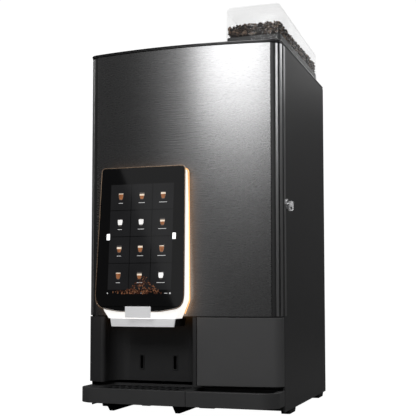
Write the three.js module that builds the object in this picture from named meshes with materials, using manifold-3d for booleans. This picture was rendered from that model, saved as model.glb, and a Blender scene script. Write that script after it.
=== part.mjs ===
// Counter-top bean-to-cup coffee vending machine, built as separate named pieces.
// Millimetres, +Z up, front facing -Y. The floor is Z = 0.
import * as THREE from 'three';
import { mergeVertices } from 'three/addons/utils/BufferGeometryUtils.js';
import { ConvexGeometry } from 'three/addons/geometries/ConvexGeometry.js';
import Module from 'manifold-3d';

const wasm = await Module();
wasm.setup();

// ---- driving dimensions ----
const GAP = 0.3; // between pieces that touch
const HALF = 230; // half the cabinet width
const FRONT = -242; // line through the front corners, before they are rounded
const BACK = 242;
const BOW = 23; // how far the front curves out at the middle
const STATION = 46; // the bow is straight between stations this far apart
const CORNER = 22; // radius of the front corners
const WALL = 3;
const SHEET = 2;

const COVER_TOP = 825;
const COVER_BOTTOM = 819.7;
const DOOR_TOP = 818.5;
const DOOR_BOTTOM = 216.5;
const DOOR_REAR = -221.5;
const HINGE_X = -214;
const HINGE_Y = -230;
const HINGE_RADIUS = 4;
const HINGE_BORE = 4.5;
const LOWER_TOP = 214.5;
const LOWER_BOTTOM = 66;
const LOWER_REAR = -219.5;
const PANEL_FRONT = -219;
const FLANGE_FRONT = -211.5;
const CHASSIS_BOTTOM = 10;
const SHELF_BOTTOM = 215.3;
const SHELF_TOP = 218;

const NICHE_LEFT = -185;
const NICHE_RIGHT = 33;
const NICHE_BACK = -187;
const NICHE_RADIUS = 38;
const DIVIDER_RIGHT = 43;

const TRAY_TOP = 57;
const TRAY_BOTTOM = 24;
const TRAY_FRONT = -297;
const TRAY_BOW = 7;
const TRAY_REAR = -200;
const TRAY_SPLIT = 31;
const TRAY_CORNER = 40;

const POD_X = -75; // middle of the screen and of the drink outlets
const POD_TOP = 545;
const GLASS_BOTTOM = 227;
const GLASS_BOTTOM_Y = -313;
const GLASS_HEIGHT = 322;
const GLASS_TILT = Math.atan(23.5 / 321); // the glass leans back towards its top
const GLASS_THICK = 3;
const HEAD_BOTTOM = 193.6;
const HEAD_TOP = 211.7;

const HOPPER_X = 157;
const HOPPER_HALF_X = 67;
const HOPPER_HALF_Y = 206;
const HOPPER_CORNER = 9;
const HOPPER_BOTTOM = COVER_TOP + GAP;
const HOPPER_BASE_TOP = 850; // the dark tray under the beans
const RIM_HEIGHT = 904; // of the hopper's rim at its middle
const RIM_FALL = 14; // how far the rim falls from front to back
const THROAT = 28;

const LOCK_Y = -193;
const LOCK_Z = 465;
const KEY_REACH = 246; // X of the key bow's outer edge
const BADGE_FRONT = -316.5;
const VALVE_REACH = 256; // Y of the water inlet's end

const CANISTERS = { left: -165, right: -55 }; // X of the two powder canisters
const BREWER = { x: 65, y: -95 };

// ---- materials ----
const finish = (color, roughness, metalness, more = {}) =>
  new THREE.MeshStandardMaterial({ color, roughness, metalness, ...more });

const cabinetPaint = finish(0x1c1c1d, 0.5, 0.3);
const brushedDark = finish(0x4a4a4c, 0.38, 0.85);
const darkPlastic = finish(0x18181a, 0.45, 0.0);
const glossBlack = finish(0x08080a, 0.12, 0.0);
const whitePlastic = finish(0xf4f2ee, 0.4, 0.0);
const brightMetal = finish(0xc9c9cb, 0.3, 0.95);
const bronze = finish(0xa9825c, 0.35, 0.8);
const amber = finish(0xffb765, 0.4, 0.0, { emissive: 0xff9a3c });
const glass = finish(0x050507, 0.05, 0.0);
const display = finish(0x202024, 0.3, 0.0);
const clear = finish(0xe4e8ea, 0.06, 0.0, { transparent: true, opacity: 0.35 });
const beans = finish(0x3b2417, 0.55, 0.0);
const rubber = finish(0x101010, 0.9, 0.0);
const steel = finish(0x9a9a9c, 0.35, 0.9);
const brass = finish(0xb08d4c, 0.35, 0.9);
const circuit = finish(0x23402f, 0.6, 0.0);

// ---- solids: closed geometries, joined and cut ----
function toSolid(geometry) {
  const bare = geometry.clone();
  bare.deleteAttribute('normal');
  bare.deleteAttribute('uv');
  const merged = mergeVertices(bare, 1e-4);
  const triangles = [];
  for (let i = 0; i < merged.index.count; i += 3) {
    const [a, b, c] = [0, 1, 2].map((k) => merged.index.getX(i + k));
    if (a !== b && b !== c && c !== a) triangles.push(a, b, c);
  }
  const vertProperties = new Float32Array(merged.attributes.position.array);
  const triVerts = new Uint32Array(triangles);
  return new wasm.Manifold(new wasm.Mesh({ numProp: 3, vertProperties, triVerts }));
}

function toGeometry(solid) {
  const { vertProperties, triVerts } = solid.getMesh();
  const geometry = new THREE.BufferGeometry();
  geometry.setAttribute('position', new THREE.BufferAttribute(vertProperties, 3));
  geometry.setIndex(new THREE.BufferAttribute(triVerts, 1));
  const flat = geometry.toNonIndexed();
  flat.computeVertexNormals();
  return flat;
}

const combine = (operation) => (first, ...others) =>
  toGeometry(others.reduce((solid, other) => solid[operation](toSolid(other)), toSolid(first)));
const join = combine('add');
const cut = combine('subtract');
const common = combine('intersect');

function box(x0, x1, y0, y1, z0, z1) {
  const geometry = new THREE.BoxGeometry(x1 - x0, y1 - y0, z1 - z0);
  return geometry.translate((x0 + x1) / 2, (y0 + y1) / 2, (z0 + z1) / 2);
}

// Corners are [x, y] or [x, y, radius]; a radius rounds the corner with an arc.
function rounded(corners, steps = 5) {
  const points = [];
  corners.forEach(([x, y, radius], i) => {
    const corner = new THREE.Vector2(x, y);
    if (!radius) {
      points.push(corner);
      return;
    }
    const before = corners[(i + corners.length - 1) % corners.length];
    const after = corners[(i + 1) % corners.length];
    const back = new THREE.Vector2(before[0] - x, before[1] - y).normalize();
    const ahead = new THREE.Vector2(after[0] - x, after[1] - y).normalize();
    const half = Math.acos(back.dot(ahead)) / 2;
    const inward = back.clone().add(ahead).normalize();
    const centre = corner.clone().addScaledVector(inward, radius / Math.sin(half));
    const start = corner.clone().addScaledVector(back, radius / Math.tan(half)).sub(centre);
    const turn = (Math.PI - 2 * half) * Math.sign(ahead.cross(back));
    for (let k = 0; k <= steps; k++) {
      const arm = start.clone().rotateAround(new THREE.Vector2(), (turn * k) / steps);
      points.push(arm.add(centre));
    }
  });
  return points;
}

const rectangle = (x0, x1, y0, y1, radius = 0) =>
  rounded([[x0, y0, radius], [x1, y0, radius], [x1, y1, radius], [x0, y1, radius]]);

function extrude(points, depth, holes) {
  const shape = new THREE.Shape(points);
  shape.holes = holes.map((hole) => new THREE.Path(hole));
  return new THREE.ExtrudeGeometry(shape, { depth, bevelEnabled: false });
}

// An outline in XY stands along Z, one in XZ lies along Y, one in YZ lies along X.
const alongZ = (points, z0, z1, holes = []) => extrude(points, z1 - z0, holes).translate(0, 0, z0);
const alongY = (points, y0, y1, holes = []) =>
  extrude(points, y1 - y0, holes).rotateX(Math.PI / 2).translate(0, y1, 0);
const alongX = (points, x0, x1, holes = []) =>
  extrude(points, x1 - x0, holes).rotateX(Math.PI / 2).rotateZ(Math.PI / 2).translate(x0, 0, 0);

function rod(radius, from, to, sides = 24) {
  const start = new THREE.Vector3(...from);
  const way = new THREE.Vector3(...to).sub(start);
  const geometry = new THREE.CylinderGeometry(radius, radius, way.length(), sides);
  const turn = new THREE.Quaternion().setFromUnitVectors(
    new THREE.Vector3(0, 1, 0),
    way.clone().normalize(),
  );
  return geometry.applyQuaternion(turn).translate(...start.addScaledVector(way, 0.5).toArray());
}

// A profile of [radius, height] turned about the vertical through (x, y).
const turned = (profile, x, y, sides = 28) =>
  new THREE.LatheGeometry(profile.map(([r, z]) => new THREE.Vector2(r, z)), sides)
    .rotateX(Math.PI / 2)
    .translate(x, y, 0);

const hull = (points) => new ConvexGeometry(points.map((p) => new THREE.Vector3(...p)));
const at = (outline, heightAt) => outline.map(({ x, y }) => [x, y, heightAt(y)]);

// ---- the bowed front ----
const bowCurve = (x) => FRONT - BOW * (1 - (x / HALF) ** 2);

function bowY(x, inset = 0) {
  const start = Math.floor((x + HALF) / STATION) * STATION - HALF;
  const along = (x - start) / STATION;
  return bowCurve(start) * (1 - along) + bowCurve(start + STATION) * along + inset;
}

function frontCorners(x0, x1, inset, leftRadius, rightRadius) {
  const corners = [[x0, bowY(x0, inset), leftRadius]];
  for (let x = STATION - HALF; x < x1; x += STATION) {
    if (x > x0 + leftRadius && x < x1 - rightRadius) corners.push([x, bowY(x, inset)]);
  }
  corners.push([x1, bowY(x1, inset), rightRadius]);
  return corners;
}

// The block between the bowed front and a flat rear.
function frontBlock(x0, x1, rear, z0, z1, inset = 0, leftRadius = 0, rightRadius = 0) {
  const corners = [[x0, rear], ...frontCorners(x0, x1, inset, leftRadius, rightRadius), [x1, rear]];
  return alongZ(rounded(corners), z0, z1);
}

const doorBlock = (inset, z0 = DOOR_BOTTOM, z1 = DOOR_TOP, rear = DOOR_REAR) =>
  frontBlock(inset - HALF, HALF - inset, rear, z0, z1, inset, CORNER - inset, CORNER - inset);

// ---- assembly ----
const machine = new THREE.Group();
// The origin is under the middle of the whole object's box.
machine.position.set(-(KEY_REACH - HALF) / 2, -(BADGE_FRONT + VALVE_REACH) / 2, 0);

function add(name, geometry, material) {
  const mesh = new THREE.Mesh(geometry, material);
  mesh.name = name;
  machine.add(mesh);
}

// ---- cabinet ----
// The sheet's front flange stands back from its edge, where the hinge side of the door swings,
// and stops above the shelf.
function sidePanel(side) {
  const flangeEdge = HALF - 18;
  const flangeBack = FLANGE_FRONT + SHEET;
  const outline = rounded([
    [HALF, PANEL_FRONT, 1.5],
    [HALF, BACK],
    [HALF - SHEET, BACK],
    [HALF - SHEET, flangeBack],
    [flangeEdge, flangeBack],
    [flangeEdge, FLANGE_FRONT],
    [HALF - SHEET, FLANGE_FRONT],
    [HALF - SHEET, PANEL_FRONT],
  ], 3).map((p) => new THREE.Vector2(p.x * side, p.y));
  const sheet = alongZ(outline, CHASSIS_BOTTOM, DOOR_TOP);
  const across = [flangeEdge - 1, HALF - SHEET].map((x) => x * side).sort((a, b) => a - b);
  const lowFlange = box(...across, FLANGE_FRONT - 0.5, flangeBack + 0.5, 0, SHELF_BOTTOM);
  if (side < 0) return cut(sheet, lowFlange);
  const lockHole = rod(8, [HALF - 10, LOCK_Y, LOCK_Z], [HALF + 10, LOCK_Y, LOCK_Z]);
  return cut(sheet, lowFlange, lockHole);
}

function rearPanel() {
  const edge = HALF - SHEET - GAP;
  const openings = [
    alongY(rectangle(-184, -136, 106, 134, 2), BACK - 5, BACK + 5),
    rod(14, [-90, BACK - 5, 120], [-90, BACK + 5, 120]),
  ];
  for (const x of [-130, 130]) {
    for (let row = 0; row < 8; row++) {
      const z = 560 + row * 22;
      openings.push(box(x - 45, x + 45, BACK - 5, BACK + 5, z, z + 6));
    }
  }
  return cut(box(-edge, edge, BACK - SHEET, BACK, CHASSIS_BOTTOM, DOOR_TOP), ...openings);
}

function basePan() {
  const edge = HALF - SHEET - GAP;
  const outer = box(-edge, edge, TRAY_REAR + 5, BACK - SHEET - GAP, CHASSIS_BOTTOM, 60);
  const inner = box(2 - edge, edge - 2, TRAY_REAR + 7, BACK - SHEET - 2, CHASSIS_BOTTOM + SHEET, 61);
  const lugs = [[-204, -184], [-128, -108], [14, 50]].map(([x0, x1]) =>
    box(x0, x1, -160, -136, 4, CHASSIS_BOTTOM + 1));
  return join(cut(outer, inner), ...lugs);
}

function topCover() {
  const outline = (inset, radius) => rounded([
    [inset - HALF, BACK - inset, radius],
    ...frontCorners(inset - HALF, HALF - inset, inset - 2, CORNER - inset, CORNER - inset),
    [HALF - inset, BACK - inset, radius],
  ]);
  const plate = alongZ(outline(0, 6), COVER_BOTTOM, COVER_TOP);
  const pocket = alongZ(outline(WALL, 4), COVER_BOTTOM - 1, COVER_TOP - WALL);
  return cut(plate, pocket, rod(THROAT + 4, [HOPPER_X, 0, 800], [HOPPER_X, 0, 830]));
}

function innerFrame() {
  const wall = box(2, 5, -205, BACK - SHEET - GAP, SHELF_TOP + GAP, 805);
  const canisterShelf = box(GAP - HALF + SHEET, 4, -150, 200, 552, 555);
  const grinderArm = box(4, HOPPER_X - 46, -20, 20, 640, 646);
  const cableHole = box(0, 10, 120, 180, 300, 360);
  return cut(join(wall, canisterShelf, grinderArm), cableHole);
}

// A wall of even thickness that follows a line, with its material on the line's left.
function followLine(points, thickness) {
  const inner = points.map((point, i) => {
    const before = points[Math.max(i - 1, 0)];
    const after = points[Math.min(i + 1, points.length - 1)];
    const arrive = point.clone().sub(before).normalize();
    const leave = after.clone().sub(point).normalize();
    if (i === 0) arrive.copy(leave);
    if (i === points.length - 1) leave.copy(arrive);
    const mid = arrive.clone().add(leave).normalize();
    const offset = new THREE.Vector2(-mid.y, mid.x).multiplyScalar(thickness / mid.dot(leave));
    return point.clone().add(offset);
  });
  return [...points, ...inner.reverse()];
}

function nicheHousing() {
  const line = rounded([
    [-HALF, LOWER_REAR],
    [-HALF, bowY(-HALF), CORNER],
    [NICHE_LEFT, bowY(NICHE_LEFT), 9],
    [NICHE_LEFT, NICHE_BACK, NICHE_RADIUS],
    [NICHE_RIGHT, NICHE_BACK, NICHE_RADIUS],
    [NICHE_RIGHT, bowY(NICHE_RIGHT), 4],
    [DIVIDER_RIGHT, bowY(DIVIDER_RIGHT), 3.5],
    [DIVIDER_RIGHT, LOWER_REAR],
  ], 6);
  const slots = [-1, 1].map((side) => sensorOutline(side, 3.8, 0.8))
    .map((outline) => alongY(outline, NICHE_BACK - 5, NICHE_BACK + 8));
  return cut(alongZ(followLine(line, WALL), LOWER_BOTTOM, LOWER_TOP), ...slots);
}

const sensorOutline = (side, half, radius) => {
  const x = POD_X - 1 + side * 41;
  return rectangle(x - half, x + half, 93.5 - (half - 3.8), 123.5 + (half - 3.8), radius);
};

function sensorWindow(side) {
  const flange = alongY(sensorOutline(side, 6.5, 2), NICHE_BACK - 1.8, NICHE_BACK - GAP);
  const stem = alongY(sensorOutline(side, 3.4, 0.6), NICHE_BACK - 1, NICHE_BACK + 5);
  const recess = alongY(sensorOutline(side, 2.8, 0.5), NICHE_BACK - 3, NICHE_BACK + 3);
  return cut(join(flange, stem), recess);
}

// A wedge under each drip tray: its front edge slants down to the floor.
const trayBracket = (x) => {
  const under = CHASSIS_BOTTOM - GAP;
  const profile = [[-260, TRAY_BOTTOM - GAP], [-234, 0], [-110, 0], [-110, under],
    [TRAY_REAR + 4, under], [TRAY_REAR + 4, TRAY_BOTTOM - GAP]];
  return alongX(profile.map(([y, z]) => new THREE.Vector2(y, z)), x - 5, x + 5);
};

const foot = (x, y) =>
  hull([
    ...at(rectangle(x - 11, x + 11, y - 30, y + 30, 3), () => CHASSIS_BOTTOM - GAP),
    ...at(rectangle(x - 10, x + 10, y - 28, y + 28, 3), () => 0),
  ]);

function hingePinTop() {
  const pin = rod(HINGE_RADIUS, [HINGE_X, HINGE_Y, DOOR_TOP - 16], [HINGE_X, HINGE_Y, COVER_BOTTOM + 1]);
  const washer = rod(7, [HINGE_X, HINGE_Y, DOOR_TOP + GAP], [HINGE_X, HINGE_Y, COVER_BOTTOM - GAP]);
  const stem = box(-220, -200, -234, -212, COVER_BOTTOM + GAP, COVER_TOP - WALL - GAP);
  return join(pin, washer, stem);
}

function hingePinBottom() {
  const pin = rod(HINGE_RADIUS, [HINGE_X, HINGE_Y, 204], [HINGE_X, HINGE_Y, DOOR_BOTTOM + 16]);
  const plate = box(-220, -192, -235, LOWER_REAR - 1, 202, 205);
  return join(pin, plate);
}

function lockBarrel() {
  const sleeve = [[4.5, -16], [7.5, -16], [7.5, GAP], [12, GAP], [11, 3.5], [4.5, 3.5], [4.5, -16]];
  const profile = sleeve.map(([r, x]) => new THREE.Vector2(r, x));
  return new THREE.LatheGeometry(profile, 24).rotateZ(-Math.PI / 2).translate(HALF, LOCK_Y, LOCK_Z);
}

// ---- water, power and brewing units ----
function boiler() {
  const shell = turned([[0, SHELF_TOP + GAP], [50, SHELF_TOP + GAP], [50, 236], [60, 246],
    [60, 440], [52, 458], [30, 470], [0, 474]], -140, 130);
  return join(shell, rod(7, [-140, 130, 465], [-140, 130, 500], 12));
}

function waterPump() {
  const base = box(20, 80, 150, 220, CHASSIS_BOTTOM + SHEET + GAP, 34);
  const motor = rod(24, [50, 140, 52], [50, 215, 52]);
  const head = box(30, 70, 118, 142, 34, 74);
  return join(base, motor, head, rod(6, [50, 130, 70], [50, 130, 90], 12));
}

function grinder() {
  const body = turned([[0, 560], [34, 560], [36, 566], [36, 690], [46, 700], [46, 780],
    [30, 792], [30, 812], [0, 812]], HOPPER_X, 0);
  const chute = hull([
    [HOPPER_X - 15, -30, 700], [HOPPER_X + 15, -30, 700], [HOPPER_X - 15, -30, 740],
    [HOPPER_X + 15, -30, 740], [HOPPER_X - 15, -80, 690], [HOPPER_X + 15, -80, 690],
    [HOPPER_X - 15, -80, 705], [HOPPER_X + 15, -80, 705],
  ]);
  return cut(join(body, chute), rod(24, [HOPPER_X, 0, 740], [HOPPER_X, 0, 830]));
}

const grinderBurr = () =>
  turned([[0, 742], [21, 742], [21, 752], [8, 775], [0, 778]], HOPPER_X, 0, 16);

function brewUnit() {
  const { x, y } = BREWER;
  const back = box(x - 45, x + 45, y + 40, y + 44, SHELF_TOP + GAP, 430);
  const floor = box(x - 45, x + 45, y - 40, y + 42, SHELF_TOP + GAP, 226);
  const roof = box(x - 45, x + 45, y - 40, y + 42, 424, 430);
  const cheeks = [-45, 41].map((dx) => box(x + dx, x + dx + 4, y - 10, y + 42, 220, 428));
  const chamber = rod(32, [x, y, 224], [x, y, 310]);
  const bore = rod(27, [x, y, 235], [x, y, 320]);
  const rodHole = rod(8, [x, y, 420], [x, y, 435]);
  return cut(join(back, floor, roof, ...cheeks, chamber), bore, rodHole);
}

function brewPiston() {
  const { x, y } = BREWER;
  return turned([[0, 330], [26, 330], [26, 345], [7, 349], [7, 460], [0, 460]], x, y);
}

function canister(x) {
  const outer = alongZ(rectangle(x - 48, x + 48, -140, 150, 8), 555.3, 765);
  const inner = alongZ(rectangle(x - 45, x + 45, -137, 147, 6), 559, 766);
  return cut(outer, inner, rod(12, [x, -150, 575], [x, -120, 575]));
}

function auger(x) {
  const discs = [];
  for (let i = 0; i < 7; i++) {
    const y = -125 + i * 36;
    discs.push(rod(10.5, [x, y, 575], [x, y + 3, 575], 8));
  }
  return join(rod(4, [x, -172, 575], [x, 140, 575], 8), ...discs);
}

const mixerBowl = (x) =>
  turned([[5, 470], [11, 470], [11, 486], [24, 515], [24, 545], [22, 545], [22, 516],
    [5, 490], [5, 470]], x, -176, 16);

function powerSupply() {
  const slots = [];
  for (let i = 0; i < 6; i++) {
    slots.push(box(128 + i * 13, 134 + i * 13, 115, 130, 240, 280));
  }
  return cut(box(118, 212, 120, 225, SHELF_TOP + GAP, 300), ...slots);
}

function powerInlet() {
  const body = alongY(rectangle(-183.7, -136.3, 106.3, 133.7, 2), BACK - 30, BACK + 2);
  const rim = alongY(rectangle(-187, -133, 103, 137, 3), BACK + GAP, BACK + 3);
  const socket = alongY(rectangle(-175, -145, 111, 129, 4), BACK - 14, BACK + 9);
  const blades = [-168, -160, -152].map((x) => box(x - 1, x + 1, BACK - 15, BACK - 2, 117, 123));
  return join(cut(join(body, rim), socket), ...blades);
}

function waterValve() {
  const body = box(-108, -72, BACK - 40, BACK - 4, 102, 138);
  const coil = rod(15, [-90, BACK - 24, 136], [-90, BACK - 24, 170]);
  const thread = rod(11, [-90, BACK - 6, 120], [-90, VALVE_REACH, 120]);
  const bore = rod(6, [-90, BACK - 20, 120], [-90, VALVE_REACH + 1, 120], 16);
  return cut(join(body, coil, thread), bore);
}

// ---- door, with the screen and the drink outlets on it ----
const doorSkin = () =>
  cut(common(doorBlock(0), box(-208, 208, -400, 0, 0, 900)), doorBlock(WALL, 0, 900, -200));

// A strip around each front corner of the door, with three grooves along its height.
function edgeProfile(side) {
  const strip = side < 0 ? box(-300, -208.4, -400, 0, 0, 900) : box(208.4, 300, -400, 0, 0, 900);
  const grooves = [25, 45, 65].map((degrees) => {
    const turn = (degrees * Math.PI) / 180;
    const x = side * (HALF - CORNER + 22.6 * Math.cos(turn));
    const y = DOOR_REAR - 1.5 - 22.6 * Math.sin(turn);
    return rod(1.6, [x, y, 0], [x, y, 900], 10);
  });
  return cut(common(doorBlock(0), strip), doorBlock(WALL, 0, 900, -200), ...grooves);
}

function doorFrame() {
  const block = doorBlock(WALL + GAP, DOOR_BOTTOM, DOOR_TOP);
  const pocket = frontBlock(-194, 194, -200, 242, 786, WALL * 2 + GAP);
  const bores = [[200, DOOR_BOTTOM + 20], [DOOR_TOP - 20, 900]].map(([z0, z1]) =>
    rod(HINGE_BORE, [HINGE_X, HINGE_Y, z0], [HINGE_X, HINGE_Y, z1]));
  const catchPlate = box(198, 206, DOOR_REAR - 4, -206, 452, 478);
  const catchEye = box(190, 210, DOOR_REAR + 4, -210, 458, 472);
  return cut(join(cut(block, pocket, ...bores), catchPlate), catchEye);
}

// Pieces of the tilted screen are drawn upright, in front of the local plane y = 0.
const tilted = (geometry) =>
  geometry.rotateX(-GLASS_TILT).translate(POD_X, GLASS_BOTTOM_Y, GLASS_BOTTOM);

const onGlass = (x, y, z) => new THREE.Vector3(x, y, z)
  .applyAxisAngle(new THREE.Vector3(1, 0, 0), -GLASS_TILT)
  .add(new THREE.Vector3(POD_X, GLASS_BOTTOM_Y, GLASS_BOTTOM))
  .toArray();

const glassOutline = (grow = 0) => rounded([
  [-99 - grow, GLASS_HEIGHT + grow, 7 + grow],
  [-104 - grow, 30, 60],
  [-101 - grow, 10 - grow * 0.8, 18 + grow],
  [-50, 1.5 - grow, 60],
  [0, -grow - 0.3, 300],
  [50, 1.5 - grow, 60],
  [101 + grow, 10 - grow * 0.8, 18 + grow],
  [104 + grow, 30, 60],
  [99 + grow, GLASS_HEIGHT + grow, 7 + grow],
], 4);

const podOutline = (grow) => rounded([
  [POD_X - 99.5 - grow, POD_TOP + grow, 12],
  [POD_X - 102 - grow, 250, 30],
  [POD_X - 87 - grow, 212],
  [POD_X + 87 + grow, 212],
  [POD_X + 102 + grow, 250, 30],
  [POD_X + 99.5 + grow, POD_TOP + grow, 12],
]);

function podHousing() {
  const face = GLASS_THICK + GAP;
  const front = [face, face + 6].flatMap((y) =>
    glassOutline(-6).map((p) => onGlass(p.x, y, p.y)));
  const chin = [[80, -291, 212], [86, -302, 228]].flatMap(([half, y, z]) =>
    [-half, half].map((x) => [POD_X + x, y, z]));
  const rear = podOutline(0).map(({ x, y }) => [x, -250, y]);
  const screenPocket = tilted(alongY(rectangle(-80, 80, 44, 312, 2), 0, face + 5));
  return cut(
    hull([...front, ...chin, ...rear]),
    doorBlock(-GAP, 200, DOOR_TOP, -200),
    screenPocket,
  );
}

function haloRing() {
  const slab = cut(doorBlock(-2.8), doorBlock(-GAP, 0, 900, -200));
  const outer = alongY(podOutline(2.4), -300, -240);
  const inner = alongY(podOutline(0.5), -310, -230);
  const seam = box(-300, 300, -320, -200, 0, DOOR_BOTTOM + 0.5);
  return cut(common(outer, slab), inner, seam, box(-300, 300, -320, -200, 205, 222));
}

const glassBezel = () =>
  tilted(alongY(glassOutline(1.6), 0.4, GLASS_THICK, [glassOutline(GAP)]));
const screenGlass = () => tilted(alongY(glassOutline(), 0, GLASS_THICK));
const displayPanel = () =>
  tilted(alongY(rectangle(-78, 78, 46, 310, 2), GLASS_THICK + GAP, GLASS_THICK + 4));
const badgePlate = () =>
  alongY(rectangle(POD_X - 30, POD_X + 30, 213.6, 238.5, 2), BADGE_FRONT, GLASS_BOTTOM_Y - 0.4);

function lowerStrip() {
  const arc = (half, z) => {
    const points = [[POD_X - half, -284.5, z], [POD_X + half, -284.5, z]];
    for (let i = -4; i <= 4; i++) {
      points.push([POD_X + (half * i) / 4, -290 - 4 * (1 - (i / 4) ** 2), z]);
    }
    return points;
  };
  return hull([...arc(77, HEAD_TOP), ...arc(74, HEAD_BOTTOM)]);
}

function nozzleHead() {
  const outline = (half) => rounded([
    [POD_X - half, -284.2], [POD_X + half, -284.2],
    [POD_X + half, -193, 30], [POD_X - half, -193, 30],
  ]);
  const body = hull([
    ...at(outline(77), () => HEAD_TOP),
    ...at(outline(74), () => HEAD_BOTTOM + 0.4),
  ]);
  const neck = box(POD_X - 55, POD_X + 55, -255, -226, HEAD_TOP - 3, DOOR_BOTTOM - GAP);
  const recess = alongZ(rectangle(POD_X - 34, POD_X + 34, -258, -222, 8), 190, HEAD_TOP - 6);
  return cut(join(body, neck), recess);
}

const outlet = (x) =>
  turned([[3, 191], [4.5, 191], [6, 197], [6, HEAD_TOP - 6 - GAP], [3, HEAD_TOP - 6 - GAP],
    [3, 191]], x, -240, 20);

// ---- drawers and trays ----
function drawerFront() {
  const x0 = DIVIDER_RIGHT + 0.6;
  const x1 = HALF - GAP;
  const shell = frontBlock(x0, x1, LOWER_REAR, LOWER_BOTTOM, LOWER_TOP, 0, 0, CORNER);
  const hollow = frontBlock(x0 + WALL, x1 - WALL, -200, LOWER_BOTTOM + 4, LOWER_TOP - 4, WALL, 0,
    CORNER - WALL);
  return cut(shell, hollow);
}

function wasteBin() {
  const outer = alongZ(rectangle(52, 222, LOWER_REAR + GAP, 70, 4), 72, 200);
  const inner = alongZ(rectangle(55, 219, LOWER_REAR + 4, 67, 3), 75, 201);
  return cut(outer, inner);
}

const trayFrontY = (x) => TRAY_FRONT - TRAY_BOW * (1 - (x / HALF) ** 2);

// The part of a tray behind the panels' front edge is narrower, to pass between them.
function trayBlock(x0, x1, z0, z1, inset = 0) {
  const left = x0 <= -HALF;
  const right = x1 >= HALF;
  const [a, b] = [x0 + inset, x1 - inset];
  const round = TRAY_CORNER - inset;
  const shoulder = PANEL_FRONT - 1.5 - inset;
  const rear = TRAY_REAR - inset;
  const corners = left
    ? [[a + 3, rear], [a + 3, shoulder], [a, shoulder], [a, trayFrontY(a) + inset, round]]
    : [[a, rear], [a, trayFrontY(a) + inset]];
  for (let x = STATION * 1.5 - HALF; x < HALF; x += STATION) {
    if (x > a + 5 && x < b - TRAY_CORNER - 5) corners.push([x, trayFrontY(x) + inset]);
  }
  corners.push(...(right
    ? [[b, trayFrontY(b) + inset, round], [b, shoulder], [b - 3, shoulder], [b - 3, rear]]
    : [[b, trayFrontY(b) + inset], [b, rear]]));
  return alongZ(rounded(corners), z0, z1);
}

const GRILLE = { x0: -180, x1: 20, front: -290, rear: -203.5, bottom: 53, top: 56.4 };

const grilleOutline = (grow) => rounded([
  [GRILLE.x0 - grow, GRILLE.front - grow, 6],
  [GRILLE.x1 + grow, GRILLE.front - grow, 6],
  [GRILLE.x1 + grow, GRILLE.rear + grow, 24],
  [GRILLE.x0 - grow, GRILLE.rear + grow, 24],
]);

function dripTray() {
  const seat = alongZ(grilleOutline(GAP), GRILLE.bottom - GAP, 60);
  const basin = alongZ(grilleOutline(-6), TRAY_BOTTOM + WALL, 60);
  return cut(trayBlock(-HALF, TRAY_SPLIT - GAP, TRAY_BOTTOM, TRAY_TOP), seat, basin);
}

function dripGrille() {
  const slots = [];
  for (let x = GRILLE.x0 + 16; x < GRILLE.x1 - 12; x += 16) {
    for (const [y0, y1] of [[-282, -250], [-244, -212]]) slots.push(box(x, x + 8, y0, y1, 50, 60));
  }
  return cut(alongZ(grilleOutline(0), GRILLE.bottom, GRILLE.top), ...slots);
}

function sideTray() {
  const block = trayBlock(TRAY_SPLIT + GAP, HALF, TRAY_BOTTOM, TRAY_TOP);
  const dish = alongZ(rectangle(TRAY_SPLIT + 10, HALF - 12, -286, -210, 12), TRAY_BOTTOM + WALL, 60);
  return cut(block, dish);
}

// ---- bean hopper ----
const hopperRim = (y) => RIM_HEIGHT - (y * RIM_FALL) / (2 * HOPPER_HALF_Y);

const hopperOutline = (inset) =>
  rectangle(HOPPER_X - HOPPER_HALF_X + inset, HOPPER_X + HOPPER_HALF_X - inset,
    inset - HOPPER_HALF_Y, HOPPER_HALF_Y - inset, HOPPER_CORNER - inset / 4);

const hopperShell = (inset, bottom, rise) =>
  hull([
    ...at(hopperOutline(inset), () => bottom),
    ...at(hopperOutline(inset + 2), (y) => hopperRim(y) + rise),
  ]);

const hopperBin = () =>
  cut(
    hopperShell(0, HOPPER_BOTTOM, 0),
    hopperShell(2.5, HOPPER_BOTTOM + WALL, 20),
    rod(THROAT, [HOPPER_X, 0, 800], [HOPPER_X, 0, 830]),
  );

function hopperBase() {
  const block = hull([
    ...at(hopperOutline(3), () => HOPPER_BOTTOM + WALL + GAP),
    ...at(hopperOutline(4), () => HOPPER_BASE_TOP),
  ]);
  const funnel = hull([
    ...at(hopperOutline(12), () => HOPPER_BASE_TOP + 1),
    ...at(rectangle(HOPPER_X - 24, HOPPER_X + 24, -24, 24, 20), () => HOPPER_BOTTOM + WALL + 4),
  ]);
  return cut(block, funnel, rod(THROAT - 4, [HOPPER_X, 0, 800], [HOPPER_X, 0, 850]));
}

function beanHeap() {
  const underside = at(hopperOutline(5), () => HOPPER_BASE_TOP + GAP);
  const shoulder = hopperOutline(6.5).map(({ x, y }) => [x, y, 871 + (x - HOPPER_X) * 0.08]);
  const top = hopperOutline(30).map(({ x, y }) => [x, y, 877 + (x - HOPPER_X) * 0.1 - y * 0.01]);
  return hull([...underside, ...shoulder, ...top]);
}

function hopperLid() {
  const layer = (inset, rise) => at(hopperOutline(inset), (y) => hopperRim(y) + rise);
  const outer = hull([...layer(2, GAP), ...layer(2, 5), ...layer(5, 11), ...layer(14, 15)]);
  const inner = hull([...layer(4.5, -2), ...layer(4.5, 4), ...layer(8, 9), ...layer(16, 12.5)]);
  return cut(outer, inner);
}

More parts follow.
